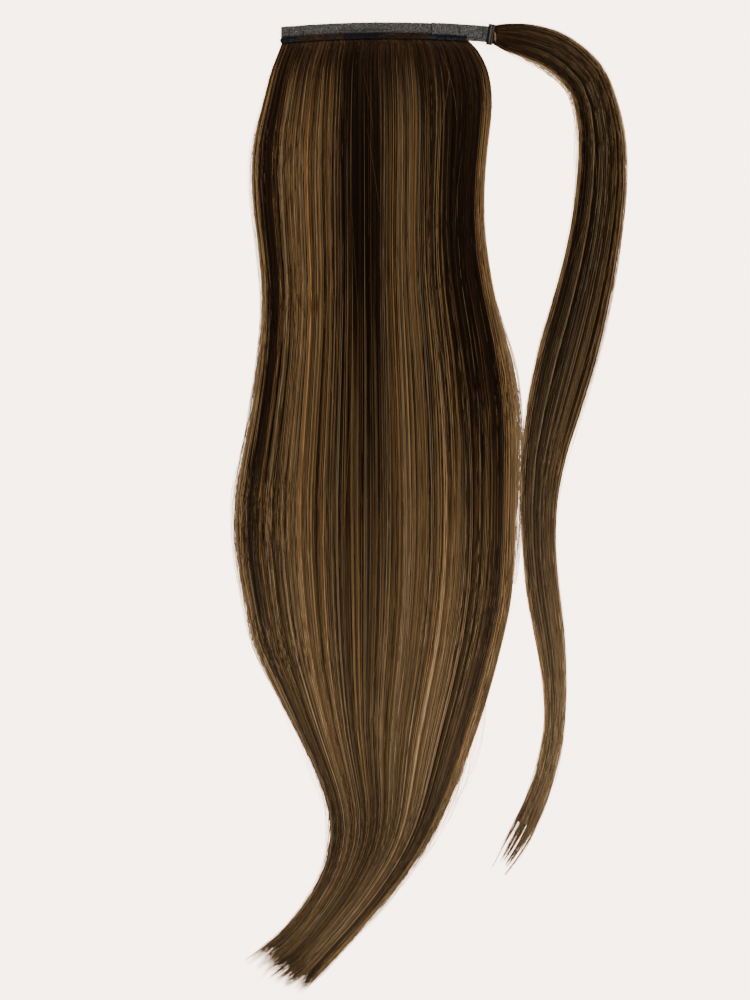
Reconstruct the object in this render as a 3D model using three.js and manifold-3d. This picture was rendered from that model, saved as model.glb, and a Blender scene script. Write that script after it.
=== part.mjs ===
// A wrap-around ponytail hairpiece, opened flat and lying on its back, in millimetres with +Z up.
// A curtain of hair hangs from a short arched loop tape, under a narrow sewn binding.
// A tab of the same tape carries the wrap lock, whose root is whipped with thread.
import * as THREE from 'three';
import { mergeVertices } from 'three/addons/utils/BufferGeometryUtils.js';
import Module from 'manifold-3d';

const manifold = await Module();
manifold.setup();

// Clearance between pieces that are sewn or whipped together.
const gap = 0.3;

// Tape, tab and binding.
const tapeLength = 135;
const tapeRise = 3;
const tapeThick = 1.2;
const stripWidth = 8.8;
const tabWidth = 10;
const tabLap = 17;
const tabReach = 21;
const bindingWidth = 3.8;
const bindingThick = 1.1;
const weftWidth = 120;

// Curtain of hair: its fall below the tape, its widest place and its thickest place.
const curtainLength = 609;
const curtainWidth = 184;
const curtainThick = 9;
const headDepth = 7;

// Wrap lock: its fall, its widest and thickest place, and its clearance where it passes the curtain.
const wrapFall = 540;
const wrapWidth = 39;
const wrapThick = 7;
const passGap = 1.8;

// Thread whipping round the root of the wrap lock.
const whipLength = 4.4;
const whipWidth = 13.6;
const whipHeight = 5.6;
const whipWall = 1;
const whipTurn = 9;
const plugReach = 4;

// Sections of the curtain. Fall is a share of its length, middle, width and thick are shares of its
// widest and thickest place, and turn is how far the section leans, in degrees.
const curtainSections = [
  { fall: 0.001, middle: 0.0, width: 0.658, thick: 0.3, turn: 0 },
  { fall: 0.012, middle: 0.012, width: 0.712, thick: 0.42, turn: 0 },
  { fall: 0.034, middle: 0.016, width: 0.776, thick: 0.52, turn: 0 },
  { fall: 0.068, middle: 0.008, width: 0.818, thick: 0.6, turn: 0 },
  { fall: 0.116, middle: -0.018, width: 0.838, thick: 0.68, turn: 0 },
  { fall: 0.172, middle: -0.026, width: 0.824, thick: 0.76, turn: 0 },
  { fall: 0.23, middle: -0.008, width: 0.81, thick: 0.84, turn: 0 },
  { fall: 0.288, middle: 0.02, width: 0.832, thick: 0.9, turn: 0 },
  { fall: 0.356, middle: 0.036, width: 0.906, thick: 0.95, turn: 0 },
  { fall: 0.424, middle: 0.025, width: 0.962, thick: 0.98, turn: 0 },
  { fall: 0.488, middle: 0.002, width: 0.998, thick: 1.0, turn: 0 },
  { fall: 0.545, middle: 0.001, width: 0.992, thick: 1.0, turn: 0 },
  { fall: 0.597, middle: 0.01, width: 0.948, thick: 0.98, turn: 0 },
  { fall: 0.648, middle: 0.012, width: 0.872, thick: 0.95, turn: 0 },
  { fall: 0.707, middle: 0.03, width: 0.722, thick: 0.9, turn: 2 },
  { fall: 0.762, middle: 0.041, width: 0.566, thick: 0.84, turn: 4 },
  { fall: 0.808, middle: 0.034, width: 0.442, thick: 0.77, turn: 10 },
  { fall: 0.85, middle: 0.003, width: 0.338, thick: 0.7, turn: 19 },
  { fall: 0.89, middle: -0.062, width: 0.268, thick: 0.62, turn: 30 },
  { fall: 0.926, middle: -0.144, width: 0.23, thick: 0.55, turn: 39 },
  { fall: 0.954, middle: -0.218, width: 0.21, thick: 0.48, turn: 43 },
  { fall: 0.976, middle: -0.284, width: 0.206, thick: 0.4, turn: 43 },
  { fall: 0.996, middle: -0.352, width: 0.2, thick: 0.3, turn: 40 },
];

// The locks of the curtain, side by side, and how far each one reaches down the sections.
const curtainLocks = [
  { reach: 0.985 },
  { reach: 0.994 },
  { reach: 0.982 },
  { reach: 1.0 },
  { reach: 0.986 },
  { reach: 0.996 },
  { reach: 0.98 },
  { reach: 0.984 },
  { reach: 0.962 },
];

// Sections of the wrap lock. Swing is a share of how far it swings out to the side, fall of its fall,
// width and thick of its widest and thickest place, and lift of the height at its whipping.
const wrapSections = [
  { swing: 0.0, fall: 0.0, width: 0.29, thick: 0.46, lift: 1.0 },
  { swing: 0.14, fall: 0.003, width: 0.46, thick: 0.56, lift: 0.4 },
  { swing: 0.32, fall: 0.0085, width: 0.58, thick: 0.64, lift: 0.0 },
  { swing: 0.58, fall: 0.022, width: 0.645, thick: 0.74, lift: 0.0 },
  { swing: 0.84, fall: 0.05, width: 0.665, thick: 0.84, lift: 0.0 },
  { swing: 0.955, fall: 0.088, width: 0.69, thick: 0.9, lift: 0.0 },
  { swing: 1.0, fall: 0.131, width: 0.77, thick: 0.94, lift: 0.0 },
  { swing: 0.99, fall: 0.18, width: 0.83, thick: 0.97, lift: 0.0 },
  { swing: 0.95, fall: 0.228, width: 0.85, thick: 0.99, lift: 0.0 },
  { swing: 0.885, fall: 0.275, width: 0.9, thick: 1.0, lift: 0.0 },
  { swing: 0.8, fall: 0.324, width: 0.945, thick: 1.0, lift: 0.0 },
  { swing: 0.705, fall: 0.37, width: 1.0, thick: 1.0, lift: 0.0 },
  { swing: 0.607, fall: 0.418, width: 0.96, thick: 0.98, lift: 0.0 },
  { swing: 0.515, fall: 0.466, width: 0.85, thick: 0.96, lift: 0.0 },
  { swing: 0.44, fall: 0.514, width: 0.715, thick: 0.93, lift: 0.0 },
  { swing: 0.41, fall: 0.562, width: 0.61, thick: 0.9, lift: 0.0 },
  { swing: 0.412, fall: 0.61, width: 0.56, thick: 0.86, lift: 0.0 },
  { swing: 0.442, fall: 0.658, width: 0.55, thick: 0.82, lift: 0.0 },
  { swing: 0.5, fall: 0.706, width: 0.51, thick: 0.77, lift: 0.0 },
  { swing: 0.545, fall: 0.753, width: 0.42, thick: 0.71, lift: 0.0 },
  { swing: 0.562, fall: 0.801, width: 0.345, thick: 0.65, lift: 0.0 },
  { swing: 0.532, fall: 0.849, width: 0.31, thick: 0.58, lift: 0.0 },
  { swing: 0.437, fall: 0.896, width: 0.315, thick: 0.5, lift: 0.0 },
  { swing: 0.29, fall: 0.943, width: 0.33, thick: 0.42, lift: 0.0 },
  { swing: 0.16, fall: 0.972, width: 0.31, thick: 0.34, lift: 0.0 },
  { swing: 0.035, fall: 0.998, width: 0.24, thick: 0.25, lift: 0.0 },
];

const wrapLocks = [
  { reach: 0.98 },
  { reach: 1.0 },
  { reach: 0.99 },
  { reach: 0.975 },
];

// How the locks lie in a body of hair: each is wider than its share, so that neighbours run together,
// the outermost are thinner than the middle ones, and each has a rounded front and ends in a point.
const lockOverlap = 1.35;
const edgeThinning = 0.62;
const frontRoundness = 0.8;
const tipShare = 0.1;
const tipWidth = 0.16;
const ringsPerSection = 1.5;
const lockSides = 7;

// Share of the curtain's length over which its locks follow the arch of the tape, and share of the
// tab's reach over which it widens past the binding.
const archFade = 0.2;
const tabFlare = 0.3;

// Places that follow from the sizes above. The middle of the tape's upper edge is at x = 0, y = 0.
const tapeLeft = -tapeLength / 2;
const tapeRight = tapeLength / 2;
const stripRight = tapeRight - tabReach;
const tabLeft = stripRight - tabLap;
const weftLeft = tapeLeft;
const weftMiddle = weftLeft + weftWidth / 2;
const weftRight = weftLeft + weftWidth;
const bindingTop = stripWidth + gap / 2 - bindingWidth / 2;
const rootDepth = stripWidth + gap;
const upperLevel = tapeThick + gap;
const whipLift = whipWall + gap;

// Drop of the arched tape below its middle, at a place along it.
function archDrop(x) {
  return tapeRise * (x / (tapeLength / 2)) ** 2;
}

// A closed solid made from a three.js geometry.
function solidOf(geometry) {
  const bare = geometry.clone();
  bare.deleteAttribute('normal');
  bare.deleteAttribute('uv');
  const merged = mergeVertices(bare, 1e-4);
  const vertProperties = new Float32Array(merged.attributes.position.array);
  const triVerts = new Uint32Array(merged.index.array);
  return new manifold.Manifold(new manifold.Mesh({ numProp: 3, vertProperties, triVerts }));
}

// Several overlapping geometries joined into one closed geometry.
function fuse(geometries) {
  let whole = solidOf(geometries[0]);
  for (const geometry of geometries.slice(1)) {
    whole = whole.add(solidOf(geometry));
  }
  const mesh = whole.getMesh();
  const joined = new THREE.BufferGeometry();
  joined.setAttribute('position', new THREE.BufferAttribute(new Float32Array(mesh.vertProperties), 3));
  joined.setIndex(new THREE.BufferAttribute(new Uint32Array(mesh.triVerts), 1));
  joined.computeVertexNormals();
  return joined;
}

// A flat band that follows the arch. Top and bottom give its edges' depths below the tape's upper
// edge at a place along it.
function archedBand({ left, right, top, bottom, level, thick }) {
  const steps = 16;
  const shape = new THREE.Shape();
  for (let i = 0; i <= steps; i += 1) {
    const x = left + ((right - left) * i) / steps;
    const y = -archDrop(x) - top(x);
    if (i === 0) shape.moveTo(x, y);
    else shape.lineTo(x, y);
  }
  for (let i = steps; i >= 0; i -= 1) {
    const x = left + ((right - left) * i) / steps;
    shape.lineTo(x, -archDrop(x) - bottom(x));
  }
  const band = new THREE.ExtrudeGeometry(shape, { depth: thick, bevelEnabled: false });
  return band.translate(0, 0, level);
}

// One lock: a closed ring-by-ring tube with a flat back and a rounded front, pointed at its tip.
function lockGeometry(flow, sections, index, count, reach) {
  const rings = Math.round(sections.length * ringsPerSection);
  const lock = new THREE.CylinderGeometry(1, 1, 1, lockSides, rings);
  const spots = lock.attributes.position;
  const spot = new THREE.Vector3();
  const middle = (2 * index + 1) / count - 1;
  const half = lockOverlap / count;
  for (let i = 0; i < spots.count; i += 1) {
    spot.fromBufferAttribute(spots, i);
    const share = 0.5 - spot.y;
    const isRim = Math.hypot(spot.x, spot.z) > 0.5;
    const column = Math.round((Math.atan2(spot.x, spot.z) / (2 * Math.PI) + 1) * lockSides) % lockSides;
    const angle = (Math.PI * column) / (lockSides - 1);
    const taper = share > 1 - tipShare ? Math.sqrt((1 - share) / tipShare) : 1;
    const narrow = tipWidth + (1 - tipWidth) * taper;
    const section = flow(share * reach);
    const limit = 1 - half;
    const centre = Math.max(-limit, Math.min(limit, middle));
    const side = isRim ? -Math.cos(angle) * half * narrow : 0;
    const height = section.thick * (1 - edgeThinning * centre * centre) * narrow;
    const rise = isRim ? Math.sin(angle) ** frontRoundness : 0.5;
    const across = (centre + side) * section.halfWidth;
    spot.copy(section.centre).addScaledVector(section.across, across);
    spot.z = section.lift + height * rise;
    spots.setXYZ(i, spot.x, spot.y, spot.z);
  }
  return lock;
}

// A smooth curve through three columns of a table of sections.
function columnCurve(sections, columns) {
  const points = sections.map((section) => new THREE.Vector3(...columns.map((name) => section[name] ?? 0)));
  return new THREE.CatmullRomCurve3(points, false, 'catmullrom', 0.5);
}

// The curtain's section at a share of its way down.
const curtainPath = columnCurve(curtainSections, ['middle', 'fall']);
const curtainSize = columnCurve(curtainSections, ['width', 'thick', 'turn']);
function curtainFlow(share) {
  const place = curtainPath.getPoint(share);
  const size = curtainSize.getPoint(share);
  const turn = THREE.MathUtils.degToRad(size.z);
  return {
    centre: new THREE.Vector3(weftMiddle + place.x * curtainWidth, -rootDepth - place.y * curtainLength, 0),
    across: new THREE.Vector3(Math.cos(turn), -Math.sin(turn), 0),
    halfWidth: (size.x * curtainWidth) / 2,
    thick: size.y * curtainThick,
    lift: 0,
  };
}

// The whipping's middle line: it starts over the tab's end and points down the lock's first stretch.
const whipHeading = THREE.MathUtils.degToRad(-whipTurn);
const whipForward = new THREE.Vector3(Math.cos(whipHeading), Math.sin(whipHeading), 0);
const whipStart = new THREE.Vector3(
  tapeRight - whipLength / 2,
  -archDrop(tapeRight) - tabWidth / 2,
  0,
);
const wrapStart = whipStart.clone().addScaledVector(whipForward, whipLength + gap);

// The wrap lock lies beside the curtain, so its swing clears the curtain's right edge at its belly,
// where the lock's own section in the middle of its fall passes it.
const belly = curtainSections.reduce((a, b) => (b.width > a.width ? b : a));
const passing = wrapSections.find(({ fall }) => fall > 0.55);
const curtainRight = weftMiddle + (belly.middle + belly.width / 2) * curtainWidth;
const passingMiddle = curtainRight + passGap + (passing.width * wrapWidth) / 2;
const wrapSwing = (passingMiddle - wrapStart.x) / passing.swing;

// The wrap lock's section at a share of its way down.
const wrapPath = columnCurve(wrapSections, ['swing', 'fall']);
const wrapSize = columnCurve(wrapSections, ['width', 'thick', 'lift']);
function wrapFlow(share) {
  const place = wrapPath.getPoint(share);
  const slope = wrapPath.getTangent(share);
  const heading = new THREE.Vector3(slope.x * wrapSwing, -slope.y * wrapFall, 0).normalize();
  const size = wrapSize.getPoint(share);
  return {
    centre: new THREE.Vector3(wrapStart.x + place.x * wrapSwing, wrapStart.y - place.y * wrapFall, 0),
    across: new THREE.Vector3(-heading.y, heading.x, 0),
    halfWidth: (size.x * wrapWidth) / 2,
    thick: size.y * wrapThick,
    lift: Math.max(0, size.z) * whipLift,
  };
}

// A flat oval outline with round ends.
function ovalShape(width, height, Outline = THREE.Shape) {
  const radius = height / 2;
  const reach = width / 2 - radius;
  const shape = new Outline();
  shape.moveTo(-reach, -radius);
  shape.lineTo(reach, -radius);
  shape.absarc(reach, 0, radius, -Math.PI / 2, Math.PI / 2, false);
  shape.lineTo(-reach, radius);
  shape.absarc(-reach, 0, radius, Math.PI / 2, (3 * Math.PI) / 2, false);
  return shape;
}

// Puts a profile that was extruded along +Z at the whipping, along its middle line.
function layAlongWhip(geometry, forward, level) {
  geometry.rotateX(Math.PI / 2);
  geometry.rotateZ(Math.PI / 2 + whipHeading);
  const start = whipStart.clone().addScaledVector(whipForward, forward);
  return geometry.translate(start.x, start.y, level);
}

function loopStrip() {
  return archedBand({
    left: tapeLeft,
    right: stripRight,
    top: () => 0,
    bottom: () => stripWidth,
    level: 0,
    thick: tapeThick,
  });
}

// The tab is narrower where it runs beside the binding, and has its full width past the weft.
function wrapTab() {
  const besideBinding = bindingTop - gap;
  const clear = weftRight + gap;
  const flared = clear + tabReach * tabFlare;
  const flare = (x) => THREE.MathUtils.smoothstep(x, clear, flared);
  return archedBand({
    left: tabLeft,
    right: tapeRight,
    top: () => 0,
    bottom: (x) => besideBinding + (tabWidth - besideBinding) * flare(x),
    level: upperLevel,
    thick: tapeThick,
  });
}

function weftBinding() {
  return archedBand({
    left: weftLeft,
    right: weftRight,
    top: () => bindingTop,
    bottom: () => bindingTop + bindingWidth,
    level: upperLevel,
    thick: bindingThick,
  });
}

// The curtain's flat head lies edge to edge with the tape, under the binding.
function hairCurtain() {
  const head = archedBand({
    left: weftLeft,
    right: weftRight,
    top: () => rootDepth,
    bottom: () => rootDepth + headDepth,
    level: 0,
    thick: tapeThick,
  });
  const locks = curtainLocks.map(({ reach }, index) => {
    const lock = lockGeometry(curtainFlow, curtainSections, index, curtainLocks.length, reach);
    return bendToArch(lock);
  });
  return fuse([head, ...locks]);
}

// Lowers the root end of a lock by the arch of the tape, fading out down its length.
function bendToArch(lock) {
  const spots = lock.attributes.position;
  const fade = curtainLength * archFade;
  for (let i = 0; i < spots.count; i += 1) {
    const down = -rootDepth - spots.getY(i);
    const share = 1 - THREE.MathUtils.smoothstep(down, 0, fade);
    spots.setY(i, spots.getY(i) - archDrop(spots.getX(i)) * share - bindingWidth / 2 * share);
  }
  return lock;
}

function wrapLock() {
  const plugWidth = whipWidth - 2 * whipWall - 2 * gap;
  const plugHeight = whipHeight - 2 * whipWall - 2 * gap;
  const clearOfTab = tapeRight - whipStart.x + gap + (plugWidth / 2) * Math.tan(-whipHeading);
  const plug = new THREE.ExtrudeGeometry(ovalShape(plugWidth, plugHeight), {
    depth: whipLength - clearOfTab + plugReach,
    bevelEnabled: false,
    curveSegments: 6,
  });
  layAlongWhip(plug, clearOfTab, whipHeight / 2);
  const locks = wrapLocks.map(({ reach }, index) => (
    lockGeometry(wrapFlow, wrapSections, index, wrapLocks.length, reach)
  ));
  return fuse([plug, ...locks]);
}

function lockWhipping() {
  const outline = ovalShape(whipWidth, whipHeight);
  outline.holes.push(ovalShape(whipWidth - 2 * whipWall, whipHeight - 2 * whipWall, THREE.Path));
  const sleeve = new THREE.ExtrudeGeometry(outline, {
    depth: whipLength,
    bevelEnabled: false,
    curveSegments: 8,
  });
  return layAlongWhip(sleeve, 0, whipHeight / 2);
}

const hairLook = { color: 0x3a2717, roughness: 0.45, metalness: 0 };
const tapeLook = { color: 0x5a5853, roughness: 0.95, metalness: 0 };
const bindingLook = { color: 0x1d1d24, roughness: 0.85, metalness: 0 };

const pieces = [
  { name: 'loop_strip', geometry: loopStrip(), look: tapeLook },
  { name: 'wrap_tab', geometry: wrapTab(), look: tapeLook },
  { name: 'weft_binding', geometry: weftBinding(), look: bindingLook },
  { name: 'hair_curtain', geometry: hairCurtain(), look: hairLook },
  { name: 'wrap_lock', geometry: wrapLock(), look: hairLook },
  { name: 'lock_whipping', geometry: lockWhipping(), look: bindingLook },
];

const hairpiece = new THREE.Group();
for (const { name, geometry, look } of pieces) {
  const mesh = new THREE.Mesh(geometry, new THREE.MeshStandardMaterial(look));
  mesh.name = name;
  hairpiece.add(mesh);
}

// The origin is under the middle of the whole piece, on the surface that it lies on.
const box = new THREE.Box3().setFromObject(hairpiece);
const centre = box.getCenter(new THREE.Vector3());
hairpiece.position.set(-centre.x, -centre.y, -box.min.z);

export default hairpiece;
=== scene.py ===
import bpy
import numpy as np
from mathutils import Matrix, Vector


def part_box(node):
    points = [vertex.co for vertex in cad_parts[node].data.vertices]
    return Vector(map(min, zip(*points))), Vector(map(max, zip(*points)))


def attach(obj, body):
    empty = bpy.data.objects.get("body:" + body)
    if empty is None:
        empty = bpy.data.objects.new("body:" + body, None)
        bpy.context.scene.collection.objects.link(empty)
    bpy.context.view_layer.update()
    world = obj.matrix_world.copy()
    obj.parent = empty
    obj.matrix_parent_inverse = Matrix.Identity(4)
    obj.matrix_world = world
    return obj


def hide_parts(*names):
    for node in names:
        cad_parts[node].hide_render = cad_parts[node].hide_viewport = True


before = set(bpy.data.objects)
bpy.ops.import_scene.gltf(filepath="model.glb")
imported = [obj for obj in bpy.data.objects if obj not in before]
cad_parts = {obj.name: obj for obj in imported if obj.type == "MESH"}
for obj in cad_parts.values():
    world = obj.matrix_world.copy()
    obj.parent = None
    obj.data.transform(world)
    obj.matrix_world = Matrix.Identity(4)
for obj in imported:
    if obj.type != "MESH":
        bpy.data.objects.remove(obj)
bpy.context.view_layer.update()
print("frame loaded", sorted(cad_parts))

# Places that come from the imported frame
stripLow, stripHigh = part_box("loop_strip")
tabLow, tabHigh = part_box("wrap_tab")
bindingLow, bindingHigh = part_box("weft_binding")
whipLow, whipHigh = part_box("lock_whipping")
mm = 0.001
tapeMiddle = (stripLow[0] + tabHigh[0]) / 2
tapeHalf = (tabHigh[0] - stripLow[0]) / 2
tapeTop = stripHigh[1]                      # upper edge at the top of the arch
tape = {"rise": 3 * mm, "width": 8.8 * mm, "tabWidth": 10 * mm, "gap": 0.3 * mm}
rootDepth = tape["width"] + tape["gap"]     # where the hair starts below the tape's upper edge


def archDrop(x):                            # how far the tape has dropped at x
    return tape["rise"] * ((x - tapeMiddle) / tapeHalf) ** 2


def smoothStep(x, low, high):
    s = np.clip((x - low) / (high - low), 0, 1)
    return s * s * (3 - 2 * s)


def wipeSelection():
    bpy.ops.object.select_all(action="DESELECT")


def vertexPlaces(obj):
    spots = np.zeros(len(obj.data.vertices) * 3)
    obj.data.vertices.foreach_get("co", spots)
    return spots.reshape(-1, 3)


def moveVertices(obj, x, y, z):
    obj.data.vertices.foreach_set("co", np.stack([x, y, z], -1).ravel())
    obj.data.update()


def smoothFaces(obj):                       # smooth, but for edges sharper than 0.9 radians
    wipeSelection()
    obj.select_set(True)
    bpy.ops.object.shade_smooth_by_angle(angle=0.9)


def setInputs(node, values):
    for name, value in values.items():
        node.inputs[name].default_value = value


# Camera straight above, soft light all round, plain pale floor
view = {"lens": 85, "sensor": 36, "frameHeight": 0.645, "middle": (-34.5 * mm, 1.9 * mm), "far": 20}
paper = {"colour": (0.85, 0.82, 0.8, 1), "roughness": 0.9, "specular": 0.1, "size": 30,
         "glow": (1, 0.765, 0.605, 1), "strength": 5.3}
room = {"colour": (1, 0.99, 0.98, 1), "strength": 0.5}
lamps = [                                   # name, place, size, power: mostly from both ends of the hair
    ("rootEnd", (0.1, 1.5, 1.7), 1.2, 40),
    ("tipEnd", (-0.1, -1.5, 1.7), 1.2, 34),
    ("leftSide", (-1.6, 0.3, 1.5), 1.0, 12),
    ("rightSide", (1.7, -0.2, 1.5), 1.0, 9),
]


def makeCamera():
    height = view["frameHeight"] * view["lens"] / view["sensor"]
    bpy.ops.object.camera_add(location=(*view["middle"], height), rotation=(0, 0, 0))
    cam = bpy.context.object
    cam.data.lens = view["lens"]
    cam.data.sensor_width = view["sensor"]
    cam.data.clip_end = view["far"]
    bpy.context.scene.camera = cam


def makeLight(name, place, size, power):
    bpy.ops.object.light_add(type="AREA", location=place)
    lamp = bpy.context.object
    lamp.name = name
    lamp.data.shape = "DISK"
    lamp.data.size = size
    lamp.data.energy = power
    lamp.rotation_euler = (-lamp.location).to_track_quat("-Z", "Y").to_euler()


def makeStage():
    world = bpy.data.worlds.new("softRoom")
    world.use_nodes = True
    setInputs(world.node_tree.nodes["Background"], {"Color": room["colour"], "Strength": room["strength"]})
    bpy.context.scene.world = world
    for lamp in lamps:
        makeLight(*lamp)
    bpy.ops.mesh.primitive_plane_add(size=paper["size"])
    floor = bpy.context.object
    floor.name = "floor"
    mat = bpy.data.materials.new("paleFloor")
    mat.use_nodes = True
    setInputs(mat.node_tree.nodes["Principled BSDF"], {
        "Base Color": paper["colour"], "Roughness": paper["roughness"],
        "Specular IOR Level": paper["specular"], "Emission Color": paper["glow"],
        "Emission Strength": paper["strength"]})
    floor.data.materials.append(mat)


makeCamera()
makeStage()
print("stage ready")


# Shared node groups
def newGroup(name, ins, outs):
    group = bpy.data.node_groups.new(name, "ShaderNodeTree")
    for title, kind, value in ins:
        socket = group.interface.new_socket(title, in_out="INPUT", socket_type=kind)
        if value is not None:
            socket.default_value = value
    for title, kind in outs:
        group.interface.new_socket(title, in_out="OUTPUT", socket_type=kind)
    return group, group.nodes.new("NodeGroupInput"), group.nodes.new("NodeGroupOutput")


def makeGrainGroup():
    # Shifts a colour lighter and darker in fine grains of a chosen scale
    group, gin, gout = newGroup(
        "threadGrain",
        [("Colour", "NodeSocketColor", (0.2, 0.2, 0.2, 1)), ("Place", "NodeSocketVector", None),
         ("Scale", "NodeSocketFloat", 400), ("Amount", "NodeSocketFloat", 0.4)],
        [("Colour", "NodeSocketColor"), ("Height", "NodeSocketFloat")])
    noise = group.nodes.new("ShaderNodeTexNoise")
    setInputs(noise, {"Detail": 3})
    ramp = group.nodes.new("ShaderNodeMapRange")
    setInputs(ramp, {"From Min": 0.3, "From Max": 0.7})
    low = group.nodes.new("ShaderNodeMath")
    low.operation = "SUBTRACT"
    setInputs(low, {0: 1})
    high = group.nodes.new("ShaderNodeMath")
    high.operation = "ADD"
    setInputs(high, {0: 1})
    scaled = group.nodes.new("ShaderNodeVectorMath")
    scaled.operation = "SCALE"
    link = group.links.new
    link(gin.outputs["Place"], noise.inputs["Vector"])
    link(gin.outputs["Scale"], noise.inputs["Scale"])
    link(gin.outputs["Amount"], low.inputs[1])
    link(gin.outputs["Amount"], high.inputs[1])
    link(noise.outputs["Fac"], ramp.inputs["Value"])
    link(low.outputs[0], ramp.inputs["To Min"])
    link(high.outputs[0], ramp.inputs["To Max"])
    link(gin.outputs["Colour"], scaled.inputs[0])
    link(ramp.outputs["Result"], scaled.inputs["Scale"])
    link(scaled.outputs["Vector"], gout.inputs["Colour"])
    link(noise.outputs["Fac"], gout.inputs["Height"])
    return group


grainGroup = makeGrainGroup()


def makeMaterial(name, look):
    # Colour from the piece's own attribute, grained, with a little bump
    mat = bpy.data.materials.new(name)
    mat.use_nodes = True
    nodes, link = mat.node_tree.nodes, mat.node_tree.links.new
    shader = nodes["Principled BSDF"]
    setInputs(shader, {"Roughness": look["roughness"], "Specular IOR Level": look["specular"]})
    if "tint" in look:
        setInputs(shader, {"Specular Tint": look["tint"]})
    if "sheen" in look:
        setInputs(shader, {"Sheen Weight": look["sheen"], "Sheen Roughness": 0.5})
    colour = nodes.new("ShaderNodeAttribute")
    colour.attribute_name = "dyeAndPaintedLight"
    place = nodes.new("ShaderNodeTexCoord")
    stretch = nodes.new("ShaderNodeMapping")
    setInputs(stretch, {"Scale": look["stretch"]})
    grain = nodes.new("ShaderNodeGroup")
    grain.node_tree = grainGroup
    setInputs(grain, {"Scale": look["scale"], "Amount": look["amount"]})
    bump = nodes.new("ShaderNodeBump")
    setInputs(bump, {"Strength": look["bump"], "Distance": look["bumpDepth"]})
    link(place.outputs["Object"], stretch.inputs["Vector"])
    link(stretch.outputs["Vector"], grain.inputs["Place"])
    link(colour.outputs["Color"], grain.inputs["Colour"])
    link(grain.outputs["Colour"], shader.inputs["Base Color"])
    link(grain.outputs["Height"], bump.inputs["Height"])
    link(bump.outputs["Normal"], shader.inputs["Normal"])
    return mat


hairMaterial = makeMaterial("glossyHair", {
    "roughness": 0.36, "specular": 0.06, "tint": (1, 0.7, 0.45, 1), "stretch": (1, 0.04, 1),
    "scale": 1100, "amount": 0.16, "bump": 0.2, "bumpDepth": 0.12 * mm})
tapeMaterial = makeMaterial("loopTape", {
    "roughness": 0.95, "specular": 0.1, "stretch": (1, 1, 1), "scale": 800, "amount": 0.75,
    "bump": 0.9, "bumpDepth": 0.5 * mm, "sheen": 0.1})
napMaterial = makeMaterial("loopNap", {
    "roughness": 0.9, "specular": 0.2, "stretch": (1, 1, 1), "scale": 600, "amount": 0.25,
    "bump": 0.1, "bumpDepth": 0.05 * mm, "sheen": 0.2})
bindingMaterial = makeMaterial("ribbedBinding", {
    "roughness": 0.85, "specular": 0.08, "stretch": (3, 1, 1), "scale": 500, "amount": 0.5,
    "bump": 0.7, "bumpDepth": 0.3 * mm})
threadMaterial = makeMaterial("sewingThread", {
    "roughness": 0.7, "specular": 0.1, "stretch": (1, 1, 1), "scale": 1500, "amount": 0.4,
    "bump": 0.4, "bumpDepth": 0.1 * mm})
print("materials ready")


# the colour attribute holds each piece's own colours; on the hair it also holds painted sheen, glints, edge
# light and shade
def paint(obj, colours):                    # one colour a vertex, linear
    layer = obj.data.color_attributes.new("dyeAndPaintedLight", "FLOAT_COLOR", "POINT")
    rgba = np.ones((len(obj.data.vertices), 4), np.float32)
    rgba[:, :3] = colours
    layer.data.foreach_set("color", rgba.ravel())


def dress(obj, material, slot, *nodes):
    obj.data.materials.clear()
    obj.data.materials.append(material)
    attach(obj, "root")
    if nodes:
        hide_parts(*nodes)


def linear(code):                           # a hex colour as linear numbers
    srgb = np.array([int(code[i:i + 2], 16) / 255 for i in (0, 2, 4)])
    return np.where(srgb <= 0.04045, srgb / 12.92, ((srgb + 0.055) / 1.055) ** 2.4)


tube = {
    "tiny": 1e-12, "upright": 0.85,         # past this share of the way up, a tube's sides are set from x
    "mapColumns": 220, "cellAcross": (0.1, 0.8), "cellUp": (0.02, 0.96), "caps": (0.01, 0.99),
    "capSize": (0.3, 0.008),
}


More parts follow.
